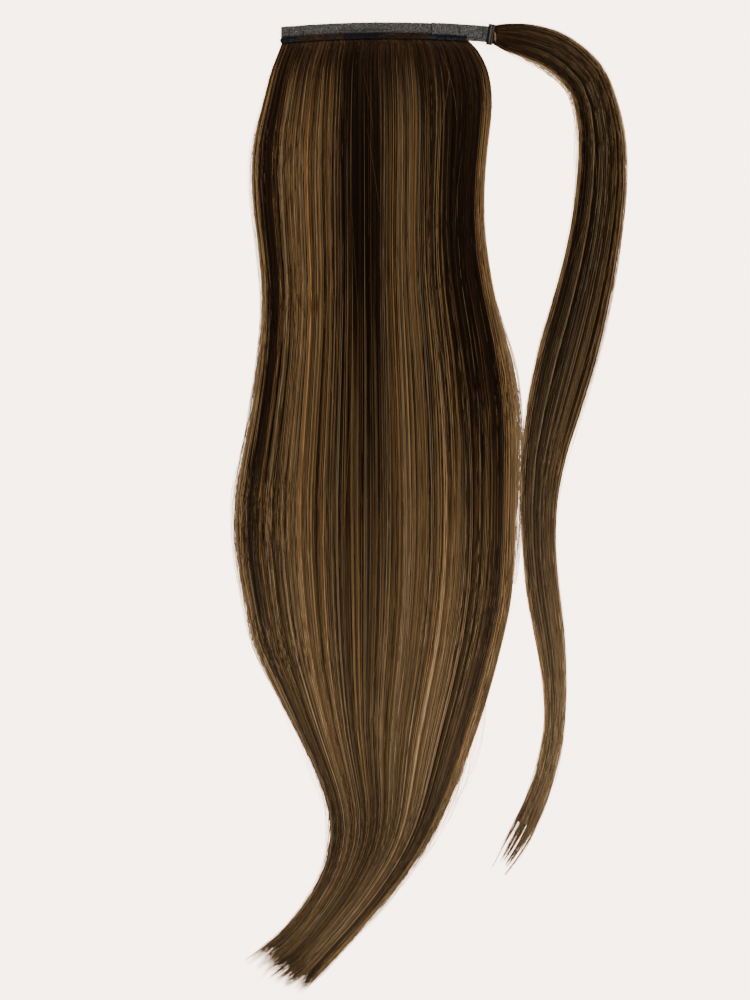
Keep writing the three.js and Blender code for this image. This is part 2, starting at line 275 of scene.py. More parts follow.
# Many thin closed tubes as one mesh: points are (tubes, rings, 3), radius and colour follow them
def tubesFromArrays(name, points, radius, colours, sides=3, flat=1.0):
    count, rings = points.shape[:2]
    ahead = np.gradient(points, axis=1)
    ahead /= np.linalg.norm(ahead, axis=2, keepdims=True) + tube["tiny"]
    upright = np.abs(ahead[..., 2:3]) > tube["upright"]
    ref = np.where(upright, np.array([1.0, 0, 0]), np.array([0, 0, 1.0]))
    across = np.cross(ahead, ref)
    across /= np.linalg.norm(across, axis=2, keepdims=True) + tube["tiny"]
    over = np.cross(across, ahead)
    angle = np.arange(sides) * 2 * np.pi / sides + np.pi / 2
    spots = (points[:, :, None, :]
             + across[:, :, None, :] * (np.cos(angle)[:, None] * radius[:, :, None, None])
             + over[:, :, None, :] * (np.sin(angle)[:, None] * radius[:, :, None, None] * flat))
    index = np.arange(count * rings * sides).reshape(count, rings, sides)
    after = np.roll(index, -1, axis=2)
    quads = np.stack([index[:, :-1], index[:, 1:], after[:, 1:], after[:, :-1]], -1).reshape(-1, 4)
    starts, ends = index[:, 0], index[:, -1, ::-1]
    corners = np.concatenate([quads.ravel(), starts.ravel(), ends.ravel()]).astype(np.int32)
    sizes = np.concatenate([np.full(len(quads), 4), np.full(2 * count, sides)]).astype(np.int32)
    mesh = bpy.data.meshes.new(name)
    mesh.vertices.add(count * rings * sides)
    mesh.vertices.foreach_set("co", spots.astype(np.float32).ravel())
    mesh.loops.add(len(corners))
    mesh.loops.foreach_set("vertex_index", corners)
    mesh.polygons.add(len(sizes))
    mesh.polygons.foreach_set("loop_start", np.concatenate([[0], np.cumsum(sizes)[:-1]]).astype(np.int32))
    mesh.update(calc_edges=True)
    mesh.validate()
    mesh.polygons.foreach_set("use_smooth", np.ones(len(mesh.polygons), bool))
    layTubeMap(mesh, count, rings, sides)
    obj = bpy.data.objects.new(name, mesh)
    bpy.context.scene.collection.objects.link(obj)
    paint(obj, np.repeat(colours.reshape(-1, 3), sides, axis=0))
    return obj


def layTubeMap(mesh, count, rings, sides):  # each tube has a small upright cell of its own
    rows = max(1, int(round((count / tube["mapColumns"]) ** 0.5)))
    columns = int(np.ceil(count / rows))
    cell, ring, side = np.meshgrid(np.arange(count), np.arange(rings - 1), np.arange(sides), indexing="ij")
    left, right = side / sides, (side + 1) / sides
    low, high = ring / (rings - 1), (ring + 1) / (rings - 1)
    u = np.stack([left, left, right, right], -1)
    v = np.stack([low, high, high, low], -1)
    column, row = (cell % columns)[..., None], (cell // columns)[..., None]
    u = (column + tube["cellAcross"][0] + tube["cellAcross"][1] * u) / columns
    v = (row + tube["cellUp"][0] + tube["cellUp"][1] * v) / rows
    sideMap = np.stack([u, v], -1).reshape(-1, 2)
    capCell = np.arange(count)
    capU = (capCell % columns + 0.5) / columns
    spin = np.arange(sides) * 2 * np.pi / sides
    aside, above = tube["capSize"][0] * np.cos(spin) / columns, tube["capSize"][1] * np.sin(spin) / rows
    ends = []
    for end in tube["caps"]:
        capV = (capCell // columns + end) / rows
        cap = np.stack([capU[:, None] + aside, capV[:, None] + above], -1)
        ends.append(cap.reshape(-1, 2))
    layer = mesh.uv_layers.new(name="OFBake")
    layer.uv.foreach_set("vector", np.concatenate([sideMap, *ends]).astype(np.float32).ravel())


# Hair: sections much as in the solids, as shares of each body's own sizes
def rowsOf(names, text):
    numbers = [[float(n) for n in line.split()] for line in text.strip().splitlines()]
    return {name: np.array(column) for name, column in zip(names.split(), zip(*numbers))}


def along(column, t):                       # smooth curve through a column, straight on past t = 1
    last = len(column) - 1
    padded = np.concatenate([[2 * column[0] - column[1]], column, [2 * column[-1] - column[-2]]])
    x = np.clip(t, 0, 1) * last
    i = np.minimum(x.astype(int), last - 1)
    f = x - i
    a, b, c, d = (padded[i + k] for k in range(4))
    bend = (2 * a - 5 * b + 4 * c - d) * f ** 2 + (3 * b - a - 3 * c + d) * f ** 3
    past = np.maximum(t - 1, 0) * last * (column[-1] - column[-2])
    return 0.5 * (2 * b + (c - a) * f + bend) + past


curtain = {
    "length": 609 * mm, "width": 184 * mm, "thick": 9 * mm, "locks": 9, "archReach": 0.2,
    "spine": -43.5 * mm, "spineLane": -0.12, "hangFrom": (0, 0.1), "hangTo": (0.62, 0.82),
    "pull": 4 * mm, "pullSpan": (0.76, 0.86), "fan": 5 * mm, "fanSpan": (0.94, 1.02),
    "middle": (bindingLow[0] + bindingHigh[0]) / 2,
    "rows": rowsOf("fall middle width thick turn", """
    0.001  0.000 0.658 0.30  0
    0.012  0.012 0.712 0.42  0
    0.034  0.016 0.776 0.52  0
    0.068  0.008 0.818 0.60  0
    0.116 -0.018 0.838 0.68  0
    0.172 -0.026 0.824 0.76  0
    0.230 -0.008 0.810 0.84  0
    0.288  0.020 0.832 0.90  0
    0.356  0.036 0.906 0.95  0
    0.424  0.025 0.962 0.98  0
    0.488  0.002 0.998 1.00  0
    0.545  0.001 0.992 1.00  0
    0.597  0.010 0.948 0.98  0
    0.648  0.012 0.872 0.95  0
    0.707  0.030 0.722 0.90  2
    0.762  0.041 0.566 0.84  4
    0.808  0.034 0.442 0.77 10
    0.850  0.003 0.338 0.70 19
    0.890 -0.062 0.268 0.62 30
    0.926 -0.144 0.230 0.55 39
    0.954 -0.218 0.210 0.48 43
    0.976 -0.284 0.206 0.40 43
    0.996 -0.352 0.200 0.30 40"""),
}


def curtainFlow(t, side):                   # where a strand is at t down and side across
    rows = curtain["rows"]
    turn = np.radians(along(rows["turn"], t))
    half = along(rows["width"], t) * curtain["width"] / 2
    fall = along(rows["fall"], t) * curtain["length"]
    x = curtain["middle"] + along(rows["middle"], t) * curtain["width"] + np.cos(turn) * half * side
    y = -fall - np.sin(turn) * half * side
    arch = 1 - smoothStep(-y, 0, curtain["length"] * curtain["archReach"])
    y = y + tapeTop - rootDepth - archDrop(x) * arch
    lean = along(rows["middle"], t) + curtain["spineLane"] * along(rows["width"], t) / 2
    spine = curtain["middle"] + lean * curtain["width"]
    hang = smoothStep(t, *curtain["hangFrom"]) * (1 - smoothStep(t, *curtain["hangTo"]))
    x = x + (curtain["spine"] - spine) * (1 - side ** 2) * hang      # inner hair hangs straight down
    pull = curtain["pull"] * smoothStep(t, *curtain["pullSpan"])     # left edge lies in near the tips
    fan = curtain["fan"] * smoothStep(t, *curtain["fanSpan"])        # and its tips swing out again
    x = x + (pull - fan) * (1 - side) / 2
    thick = along(rows["thick"], t) * curtain["thick"]
    return x, y, thick * crownShape(t, side, curtain["locks"]), 0 * t


crownLook = {"edge": 2.4, "drop": 0.86, "round": 0.8, "groove": 0.07, "grooveFrom": (0.0, 0.15)}


def crownShape(t, side, locks):             # lens across, with soft grooves between the locks
    lens = (1 - np.clip(np.abs(side), 0, 1) ** crownLook["edge"] * crownLook["drop"]) ** crownLook["round"]
    dips = np.cos((side + 1 / locks) * np.pi * locks) - 1
    groove = crownLook["groove"] * dips * smoothStep(t, *crownLook["grooveFrom"])
    return lens + groove * lens


wrap = {
    "fall": 540 * mm, "swing": 69.4 * mm, "width": 39 * mm, "thick": 7 * mm, "locks": 4,
    "start": (whipHigh[0] - 0.3 * mm, (whipLow[1] + whipHigh[1]) / 2), "lift": 1.3 * mm,
    "rootFull": 0.12, "rootSpan": (0, 0.08), "step": 0.002, "least": 1e-9,
    "rows": rowsOf("swing fall width thick lift", """
    0.000 0.000  0.290 0.46 1.0
    0.140 0.003  0.460 0.56 0.4
    0.320 0.0075 0.585 0.64 0
    0.580 0.0205 0.650 0.74 0
    0.840 0.050  0.665 0.84 0
    0.955 0.088  0.690 0.90 0
    1.000 0.131  0.770 0.94 0
    0.990 0.180  0.830 0.97 0
    0.950 0.228  0.850 0.99 0
    0.885 0.275  0.900 1.00 0
    0.800 0.324  0.945 1.00 0
    0.705 0.370  1.000 1.00 0
    0.607 0.418  0.960 0.98 0
    0.515 0.466  0.850 0.96 0
    0.440 0.514  0.715 0.93 0
    0.410 0.562  0.610 0.90 0
    0.412 0.610  0.560 0.86 0
    0.442 0.658  0.550 0.82 0
    0.500 0.706  0.510 0.77 0
    0.545 0.753  0.420 0.71 0
    0.562 0.801  0.345 0.65 0
    0.532 0.849  0.310 0.58 0
    0.437 0.896  0.315 0.50 0
    0.290 0.943  0.330 0.42 0
    0.160 0.972  0.310 0.34 0
    0.035 0.998  0.240 0.25 0"""),
}


def wrapPlace(t):
    rows = wrap["rows"]
    x = wrap["start"][0] + along(rows["swing"], t) * wrap["swing"]
    y = wrap["start"][1] - along(rows["fall"], t) * wrap["fall"]
    return x, y


def wrapFlow(t, side):
    rows = wrap["rows"]
    x, y = wrapPlace(t)
    xa, ya = wrapPlace(np.clip(t - wrap["step"], 0, 1))
    xb, yb = wrapPlace(np.clip(t + wrap["step"], 0, 1))
    reach = np.hypot(xb - xa, yb - ya) + wrap["least"]
    full = 1 + wrap["rootFull"] - wrap["rootFull"] * smoothStep(t, *wrap["rootSpan"])
    half = along(rows["width"], t) * wrap["width"] / 2 * full
    x = x - (yb - ya) / reach * half * side
    y = y + (xb - xa) / reach * half * side
    thick = along(rows["thick"], t) * wrap["thick"]
    lift = np.clip(along(rows["lift"], t), 0, 1) * wrap["lift"]
    return x, y, thick * crownShape(t, side, wrap["locks"]), lift


# Hair colours, from darkest to lightest; ash and pale also serve for painted sheen, painted glints and
# painted edge light
dyeAndPaintedLight = {
    "black": linear("0d0705"), "dark": linear("1b100a"), "brown": linear("3d2917"),
    "gold": linear("785c39"), "ash": linear("6d5b43"), "amber": linear("5f4223"), "pale": linear("b69d7c"),
}

# Highlights across the hair: middle and half width in shares of its half width, and how many of
# the strands there are light in the upper and the lower part
curtainLights = rowsOf("at wide upper lower", """
    -0.98 0.05 0.85 0.95
    -0.86 0.06 0.05 0.18
    -0.70 0.08 0.70 0.60
    -0.53 0.08 0.82 0.88
    -0.38 0.07 0.40 0.54
    -0.22 0.08 0.07 0.48
    -0.07 0.09 0.03 0.38
     0.11 0.07 0.28 0.68
     0.28 0.08 0.66 0.88
     0.45 0.06 0.18 0.84
     0.57 0.05 0.18 0.86
     0.73 0.09 0.01 0.32
     0.87 0.06 0.03 0.24
     0.97 0.04 0.70 0.85""")
wrapLights = rowsOf("at wide upper lower", """
    -0.96 0.06 0.80 0.80
    -0.72 0.10 0.12 0.46
    -0.50 0.05 0.42 0.54
    -0.25 0.09 0.20 0.50
     0.02 0.06 0.26 0.54
     0.28 0.08 0.20 0.50
     0.50 0.05 0.36 0.54
     0.72 0.08 0.22 0.50
     0.95 0.06 0.75 0.80""")


leastLight = 1e-6


def lightShare(lights, side, lower):        # share of light strands, blended between bands
    weight = np.exp(-((side[..., None] - lights["at"]) / lights["wide"]) ** 2) + leastLight
    share = lights["upper"] + (lights["lower"] - lights["upper"]) * lower[..., None]
    return (weight * share).sum(-1) / weight.sum(-1)


# How the strands differ from one another: shares of them, spans down the hair and ranges
tone = {
    "lightEdge": (-0.05, 0.05), "goldTo": 0.5, "ashTo": 0.75, "warmth": (0.5, 1.4), "blackShare": 0.6,
    "near": (0.2, 1.5), "brown": 0.75, "rimFrom": 0.965, "rimShare": 0.6, "sheen": (0.4, 1.3), "glint": 0.55,
    "rootEnd": (0.6, 1.4), "rootDark": 0.62, "rootBrown": 1.6, "root": 0.95, "ripple": 0.1,
    "rippleTurns": (5, 16), "shared": 0.9, "even": 0.55, "rootVary": 0.5, "rootVarySpan": (0.05, 0.16),
    "lowVary": 0.65, "lowVarySpan": (0.3, 0.7), "tipVary": 0.5, "tipVarySpan": (0.74, 0.9),
}
fullTurn = 6.3                              # a little over two pi, for random phases


def hairColours(t, side, spec, rng):
    count, rings = t.shape
    light = lightShare(spec["lights"], side, smoothStep(t, *spec["blend"]))
    isLight = smoothStep(light - rng.random((count, 1)), *tone["lightEdge"])
    tint = rng.random((count, 1, 1))
    ashOrAmber = np.where(tint < tone["ashTo"], dyeAndPaintedLight["ash"], dyeAndPaintedLight["amber"])
    warm = np.where(tint < tone["goldTo"], dyeAndPaintedLight["gold"], ashOrAmber)
    warm = warm * rng.uniform(*tone["warmth"], (count, 1, 1))
    warm = warm + (dyeAndPaintedLight["ash"] - warm) * spec["ashen"]
    deep = np.where(rng.random((count, 1, 1)) < tone["blackShare"], dyeAndPaintedLight["black"], dyeAndPaintedLight["dark"])
    near = np.clip(tone["near"][0] + tone["near"][1] * light, 0, 1)[..., None]      # browner by highlights
    deep = deep + (dyeAndPaintedLight["brown"] - deep) * rng.random((count, 1, 1)) ** spec["plain"] * tone["brown"] * near
    shade = deep + (warm - deep) * isLight[..., None]
    # painted edge light: the outermost strands turn paler, standing in for light coming through thin hair
    rim = smoothStep(np.abs(side), tone["rimFrom"], 1.0) * (rng.random((count, 1)) < tone["rimShare"])
    shade = shade + (dyeAndPaintedLight["pale"] - shade) * (spec["paintedEdgeLight"] * rim)[..., None]
    # painted sheen: strands shift toward ash further down the hair
    sheen = smoothStep(t, *spec["sheenSpan"])[..., None] * spec["sheen"]
    shade = shade + (dyeAndPaintedLight["ash"] - shade) * sheen * rng.uniform(*tone["sheen"], (count, 1, 1))
    # painted glints: a few strands turn paler
    glint = smoothStep(t, *spec["glintSpan"]) * (rng.random((count, 1)) < spec["glints"])
    shade = shade + (dyeAndPaintedLight["pale"] - shade) * glint[..., None] * tone["glint"]
    rootEnd = spec["rootEnd"] * rng.uniform(*tone["rootEnd"], (count, 1))
    root = (1 - smoothStep(t, rootEnd * 0.5, rootEnd))[..., None]
    rootBrown = dyeAndPaintedLight["brown"] * rng.random((count, 1, 1)) ** spec["rootPlain"] * tone["rootBrown"]
    shade = shade + (dyeAndPaintedLight["dark"] * tone["rootDark"] + rootBrown - shade) * root * tone["root"]
    turns = rng.uniform(*tone["rippleTurns"], (count, 1))
    glow = 1 + tone["ripple"] * np.sin(t * turns + rng.uniform(0, fullTurn, (count, 1)))
    glow = glow * (1 + (spec["tipShade"] - 1) * smoothStep(t, *spec["tipSpan"]))
    knots = spec["clumps"] * 2                              # neighbours share some of their brightness
    shared = np.interp(side[:, :1], np.linspace(-1, 1, knots), rng.normal(0, tone["shared"], knots))
    uneven = tone["even"] + tone["rootVary"] * (1 - smoothStep(t, *tone["rootVarySpan"]))
    uneven = uneven + tone["lowVary"] * smoothStep(t, *tone["lowVarySpan"])
    uneven = uneven + tone["tipVary"] * smoothStep(t, *tone["tipVarySpan"])
    vary = (shared + rng.normal(0, 1, (count, 1))) * spec["vary"] * uneven
    return shade * (glow * np.exp(vary) * spec["level"])[..., None]


ringing = {"fine": 400, "roots": 2.2, "rootsWithin": 0.14, "tipSpan": (0.6, 0.9), "shift": 0.3}


def ringPlaces(count, rings, spec, rng):    # rings closer together where the hair bends
    fine = np.linspace(0, 1, ringing["fine"])
    need = 1 + ringing["roots"] * np.exp(-(fine / ringing["rootsWithin"]) ** 2)
    need = need + spec["tipRings"] * smoothStep(fine, *ringing["tipSpan"])
    total = np.cumsum(need)
    places = np.interp(np.linspace(total[0], total[-1], rings), total, fine)
    gaps = np.gradient(places)
    shift = rng.uniform(-ringing["shift"], ringing["shift"], (count, 1))
    offset = np.where((places > 0) & (places < 1), gaps, 0)
    return places[None, :] + offset[None, :] * shift


# What all strands share: spans are from the roots to the tips, or from the middle to the edges
strand = {
    "mixing": 0.35, "tipWithin": (0.2, 0.8), "edgeSpan": (0.5, 1.0), "leftSpan": (0.25, 1.0),
    "calm": 0.85, "calmSpan": (0.7, 0.95), "waves": ((16, 6, 0), (37, -9, 1)), "ownTurns": (2, 5),
    "waveFrom": (0.0, 0.12), "gatherSpan": (0.25, 1.0), "joinTo": 1.03, "flickAcross": (0.45, 1.0),
    "flickDown": (0.9, 1.02), "rise": 0.01, "thinner": 0.85, "rootLevels": (0.6, 1.0), "flat": 0.8,
}


def slowSwing(t, rng):                      # a slow wave of its own for each strand
    count = len(t)
    return np.sin(t * rng.uniform(*strand["ownTurns"], (count, 1)) + rng.uniform(0, fullTurn, (count, 1)))


def makeStrands(name, flow, spec):
    rng = np.random.default_rng(spec["seed"])
    count, rings = spec["count"], spec["rings"]
    side = rng.uniform(-1, 1, (count, 1))
    clumps = spec["clumps"]
    clump = np.clip(((side + 1) / 2 * clumps).astype(int), 0, clumps - 1)
    clumpSide = ((np.arange(clumps) + 0.5) / clumps * 2 - 1)[clump]
    tips = spec["tips"]
    mixed = (side + 1) / 2 * tips + rng.normal(0, strand["mixing"], (count, 1))
    tip = np.clip(mixed.astype(int), 0, tips - 1)
    tipMiddle = (np.arange(tips) + rng.uniform(*strand["tipWithin"], tips)) / tips * 2 - 1
    swing = rng.normal(0, spec["swing"], tips)
    tipSide = (tipMiddle + swing)[tip] + rng.normal(0, spec["splay"], (count, 1))
    reach = spec["longest"] - spec["uneven"] * rng.random(tips)[tip] - spec["slant"] * side
    atEdge, atLeft = smoothStep(np.abs(side), *strand["edgeSpan"]), smoothStep(-side, *strand["leftSpan"])
    reach = reach - spec["edgeShort"] * atEdge * rng.random((count, 1)) ** 4
    reach = reach - spec["leftShort"] * atLeft * rng.random((count, 1)) ** 2
    reach = reach - spec["point"] * np.abs(side - tipMiddle[tip]) * tips
    reach = reach - rng.exponential(spec["fray"], (count, 1))
    calm = 1 - strand["calm"] * smoothStep(np.abs(side), *strand["calmSpan"])      # smooth edges
    t = ringPlaces(count, rings, spec, rng) * reach
    shared = sum(np.sin(side * across + t * down + phase) for across, down, phase in strand["waves"])
    own = slowSwing(t, rng)
    wander = (shared * spec["wave"] + own * spec["wander"]) * smoothStep(t, *strand["waveFrom"]) * calm
    gather = (clumpSide - side) * spec["gather"] * smoothStep(t, *strand["gatherSpan"])
    lane = side + gather * calm + wander
    lane = lane + (tipSide - lane) * smoothStep(t / reach, spec["pointFrom"], strand["joinTo"]) * spec["join"]
    lane = np.clip(lane, -spec["limit"][0], spec["limit"][1])
    flick = smoothStep(np.abs(side), *strand["flickAcross"]) * smoothStep(t / reach, *strand["flickDown"])
    flick = flick * rng.random((count, 1))
    lane = lane + np.sign(side) * flick * np.where(side < 0, spec["flick"][0], spec["flick"][1])
    x, y, crown, lift = flow(t, lane)
    depth = rng.uniform(*spec["depth"], (count, 1)) + strand["rise"] * slowSwing(t, rng)
    thin = rng.uniform(*spec["radius"], (count, 1))
    radius = thin * (1 - smoothStep(t / reach, 1 - spec["taper"], 1.0) * strand["thinner"])
    start = smoothStep(t, 0, spec["rootRise"])
    z = lift + radius + np.maximum(crown * depth - 2 * radius, 0) * start
    z = z + (spec["rootLevel"] - radius) * (1 - start) * rng.uniform(*strand["rootLevels"], (count, 1))
    points = np.stack([x, y, z], -1)
    back = points[:, 0] - points[:, 1]
    back[:, 2] = 0
    points[:, 0] += back / np.linalg.norm(back, axis=1, keepdims=True) * spec["tuck"]
    colours = hairColours(t, side + 0 * t, spec, rng)
    obj = tubesFromArrays(name, points, radius, colours, flat=strand["flat"])
    dress(obj, hairMaterial, "hair")


hairBody = {
    "rootRise": 0.6 * mm, "lowShare": 0.5, "rootFrom": 0.4, "warmth": 0.6, "warmSpan": (0.5, 0.88),
    "vary": (0.85, 1.15),
}


# The solid-looking body under the strands: a grid laid along the flow, extruded down to a flat back
def makeHairBody(name, flow, spec, *nodes):
    wipeSelection()
    bpy.ops.mesh.primitive_grid_add(x_subdivisions=spec["across"], y_subdivisions=spec["down"], size=2)
    obj = bpy.context.object
    obj.name = name
    bpy.ops.object.mode_set(mode="EDIT")
    bpy.ops.mesh.select_all(action="SELECT")
    bpy.ops.mesh.extrude_region_move(TRANSFORM_OT_translate={"value": (0, 0, -1)})
    bpy.ops.mesh.normals_make_consistent(inside=False)
    bpy.ops.object.mode_set(mode="OBJECT")
    spots = vertexPlaces(obj)
    side = spots[:, 0] * spec["inset"]
    t = (1 - spots[:, 1]) / 2 * spec["reach"]
    isTop = spots[:, 2] > -0.5
    x, y, crown, lift = flow(t, side)
    start = smoothStep(t, 0, spec["rootRise"])
    top = lift + spec["floor"] + (crown * spec["fill"] - spec["floor"]) * start
    top = top + hairBody["rootRise"] * (1 - start)
    low = lift + spec["floor"] * hairBody["lowShare"]
    moveVertices(obj, x, y, np.where(isTop, top, low))
    rng = np.random.default_rng(spec["seed"])
    light = lightShare(spec["lights"], side, smoothStep(t, *spec["blend"]))
    root = 1 - smoothStep(t, spec["rootEnd"] * hairBody["rootFrom"], spec["rootEnd"])
    warmth = np.maximum(light * (1 - root), smoothStep(t, *hairBody["warmSpan"])) * hairBody["warmth"]
    # partly the hair's dark colour, partly painted shade: the body stays near black so the gaps between
    # strands read as shaded deep hair
    shade = dyeAndPaintedLight["black"] + (dyeAndPaintedLight["brown"] - dyeAndPaintedLight["black"]) * warmth[:, None]
    shade = shade * rng.uniform(*hairBody["vary"], (len(shade), 1))
    paint(obj, shade)
    smoothFaces(obj)
    dress(obj, hairMaterial, "hair", *nodes)


curtainHair = {
    "lights": curtainLights, "rootEnd": 0.165, "blend": (0.24, 0.57), "paintedEdgeLight": 0.5, "rootRise": 0.045,
    "sheen": 0.3, "sheenSpan": (0.35, 0.75), "tipShade": 0.55, "tipSpan": (0.64, 0.78), "vary": 0.32,
    "level": 0.92, "ashen": 0, "plain": 2.5, "glints": 0.05, "glintSpan": (0.35, 0.75), "rootPlain": 5,
    "rootLevel": 1.1 * mm,
}
makeHairBody("curtainBody", curtainFlow, {
    **curtainHair, "across": 72, "down": 90, "inset": 0.95, "reach": 0.86, "fill": 0.7,
    "floor": 0.4 * mm, "seed": 11}, "hair_curtain")
curtainLayers = [
    {"name": "curtainStrandsDeep", "seed": 21, "radius": (0.32 * mm, 0.46 * mm), "depth": (0.62, 0.86),
     "clumps": 46, "tips": 13, "uneven": 0.03, "edgeShort": 0},
    {"name": "curtainStrandsMiddle", "seed": 22, "radius": (0.2 * mm, 0.33 * mm), "depth": (0.8, 0.97),
     "clumps": 70, "tips": 19, "uneven": 0.025, "edgeShort": 0.25},
    {"name": "curtainStrandsTop", "seed": 23, "radius": (0.14 * mm, 0.24 * mm), "depth": (0.9, 1.03),
     "clumps": 90, "tips": 26, "uneven": 0.02, "edgeShort": 0.35},
]
for layer in curtainLayers:
    makeStrands(layer["name"], curtainFlow, {
        **curtainHair, **layer, "count": 1000, "rings": 33, "slant": 0.01, "flick": (0.2, 0.14),
        "gather": 0.3, "wave": 0.004, "wander": 0.005, "limit": (0.97, 0.99), "taper": 0.08,
        "tipRings": 1.6, "splay": 0.08, "swing": 0.05, "point": 0.01, "pointFrom": 0.9, "join": 0.55,
        "longest": 1.012, "leftShort": 0.05, "fray": 0.026, "tuck": 0})
    print("made", layer["name"])

wrapHair = {
    "lights": wrapLights, "rootEnd": 0.12, "blend": (0.36, 0.76), "paintedEdgeLight": 0.8, "rootRise": 0.05,
    "sheen": 0.55, "sheenSpan": (0.25, 0.9), "tipShade": 1.5, "tipSpan": (0.6, 0.85), "vary": 0.3,
    "level": 0.56, "ashen": 0.14, "plain": 1, "glints": 0.06, "glintSpan": (0.08, 0.2), "rootPlain": 3,
    "rootLevel": 2.6 * mm,
}
makeHairBody("wrapBody", wrapFlow, {
    **wrapHair, "across": 24, "down": 100, "inset": 0.9, "reach": 0.92, "fill": 0.68,
    "floor": 0.4 * mm, "seed": 12}, "wrap_lock")
makeStrands("wrapStrands", wrapFlow, {
    **wrapHair, "seed": 31, "radius": (0.13 * mm, 0.28 * mm), "depth": (0.7, 1.03),
    "clumps": 44, "count": 1150, "rings": 28, "uneven": 0.05, "slant": 0, "fray": 0.016,
    "flick": (0.3, 0.2), "gather": 0.2, "wave": 0.008, "wander": 0.015, "limit": (0.99, 0.94),
    "taper": 0.14, "tipRings": 0, "splay": 0.1, "swing": 0.15, "point": 0.015, "pointFrom": 0.88,
    "edgeShort": 0.12, "leftShort": 0, "longest": 1, "join": 0.8, "tips": 7,
    "tuck": 3.6 * mm})
print("made wrap lock")


band = {
    "rows": 10, "bevel": 0.3, "soft": 1.5 * mm, "vary": (0.8, 1.2), "wave": (260, 3.1),
    "ripples": ((420, 1), (910, 0.7), (1730, 0.5)), "lowShift": 3,
}


# Tape, tab and binding: a grid bent to the arch, made a closed band by Solidify, edges rounded
def makeBand(name, spec, material, slot, *nodes):
    wipeSelection()
    bpy.ops.mesh.primitive_grid_add(x_subdivisions=spec["steps"], y_subdivisions=band["rows"], size=2)
    obj = bpy.context.object
    obj.name = name
    spots = vertexPlaces(obj)
    share, down = (spots[:, 0] + 1) / 2, (1 - spots[:, 1]) / 2
    x = spec["left"] + (spec["right"] - spec["left"]) * share
    rng = np.random.default_rng(spec["seed"])
    phase = rng.uniform(0, fullTurn, 6)
    ripple = sum(size * np.sin(x * rate + phase[i]) for i, (rate, size) in enumerate(band["ripples"]))
    top = spec["top"](x) + ripple * spec["ragged"]
    low = spec["bottom"](x) + np.roll(ripple, band["lowShift"]) * spec["ragged"]
    y = tapeTop - archDrop(x) - top - (low - top) * down
    wave = np.sin(x * band["wave"][0] + phase[3]) * np.sin(down * band["wave"][1] + phase[4])
    z = spec["level"] + spec["thick"] / 2 + wave * spec["wave"]
    moveVertices(obj, x, y, z)
    solid = obj.modifiers.new("wall", "SOLIDIFY")
    solid.thickness = spec["thick"]
    solid.offset = 0
    edge = obj.modifiers.new("roundEdge", "BEVEL")
    edge.width = spec["thick"] * band["bevel"]
    edge.segments = 2
    for mod in ("wall", "roundEdge"):
        bpy.ops.object.modifier_apply(modifier=mod)
    count = len(obj.data.vertices)
    shade = np.tile(linear(spec["colour"]), (count, 1)) * rng.uniform(*band["vary"], (count, 1))
    x = vertexPlaces(obj)[:, 0]
    soft = band["soft"]
    for low, high, tint, weight in spec["stretches"]:
        there = smoothStep(x, low - soft, low + soft) * (1 - smoothStep(x, high - soft, high + soft))
        shade = shade + (linear(tint) - shade) * (there * weight)[:, None]
    paint(obj, shade)
    smoothFaces(obj)
    dress(obj, material, slot, *nodes)


weftRight = bindingHigh[0]
upperLevel = tabLow[2]
bindingTop = rootDepth - 2.05 * mm
tabBeside = bindingTop + 0.3 * mm           # the tab's lower edge is caught in the binding
tabFull = tape["tabWidth"] + 0.4 * mm       # and is free past the weft's end
tabWidens = (weftRight - 0.4 * mm, weftRight + 0.3 * mm)


def tabBottom(x):
    return tabBeside + (tabFull - tabBeside) * smoothStep(x, *tabWidens)


makeBand("stripTape", {
    "left": stripLow[0], "right": stripHigh[0], "top": lambda x: 0 * x,
    "bottom": lambda x: tape["width"] + 0 * x,
    "level": 0.05 * mm, "thick": 1.1 * mm, "steps": 130, "ragged": 0.05 * mm, "wave": 0.05 * mm,
    "colour": "3b3936", "stretches": [], "seed": 41}, tapeMaterial, "tape", "loop_strip")
makeBand("tabTape", {
    "left": tabLow[0], "right": tabHigh[0], "top": lambda x: 0 * x, "bottom": tabBottom,
    "level": upperLevel, "thick": 1.2 * mm, "steps": 90, "ragged": 0.05 * mm, "wave": 0.05 * mm,
    "colour": "3d3b38", "stretches": [], "seed": 42}, tapeMaterial, "tape", "wrap_tab")
makeBand("bindingBand", {
    "left": bindingLow[0], "right": bindingHigh[0], "top": lambda x: bindingTop + 0 * x,
    "bottom": lambda x: bindingTop + 3.8 * mm + 0 * x, "level": upperLevel, "thick": 1.1 * mm, "steps": 160,
    "ragged": 0.07 * mm, "wave": 0.06 * mm, "colour": "0e0e12", "seed": 43,
    "stretches": [(-82 * mm, -55 * mm, "23160c", 0.8), (-29 * mm, 0, "20140b", 0.8)]},
    bindingMaterial, "binding", "weft_binding")
print("made tape and binding")

# Nap of the loop tape: small hooped fibres standing on both tapes
nap = {
    "perSquareMm": 2.1, "reach": (0.45 * mm, 1.0 * mm), "height": (0.15 * mm, 0.45 * mm), "radius": 0.07 * mm,
    "level": 1.2 * mm, "steps": np.array([0, 0.35, 0.7, 1.0]), "hoop": 0.9, "vary": (0.7, 1.3),
    "pale": "8b867c", "paleShare": 0.45, "plain": "302e2b", "dark": "1a1918", "darkShare": 0.15,
}


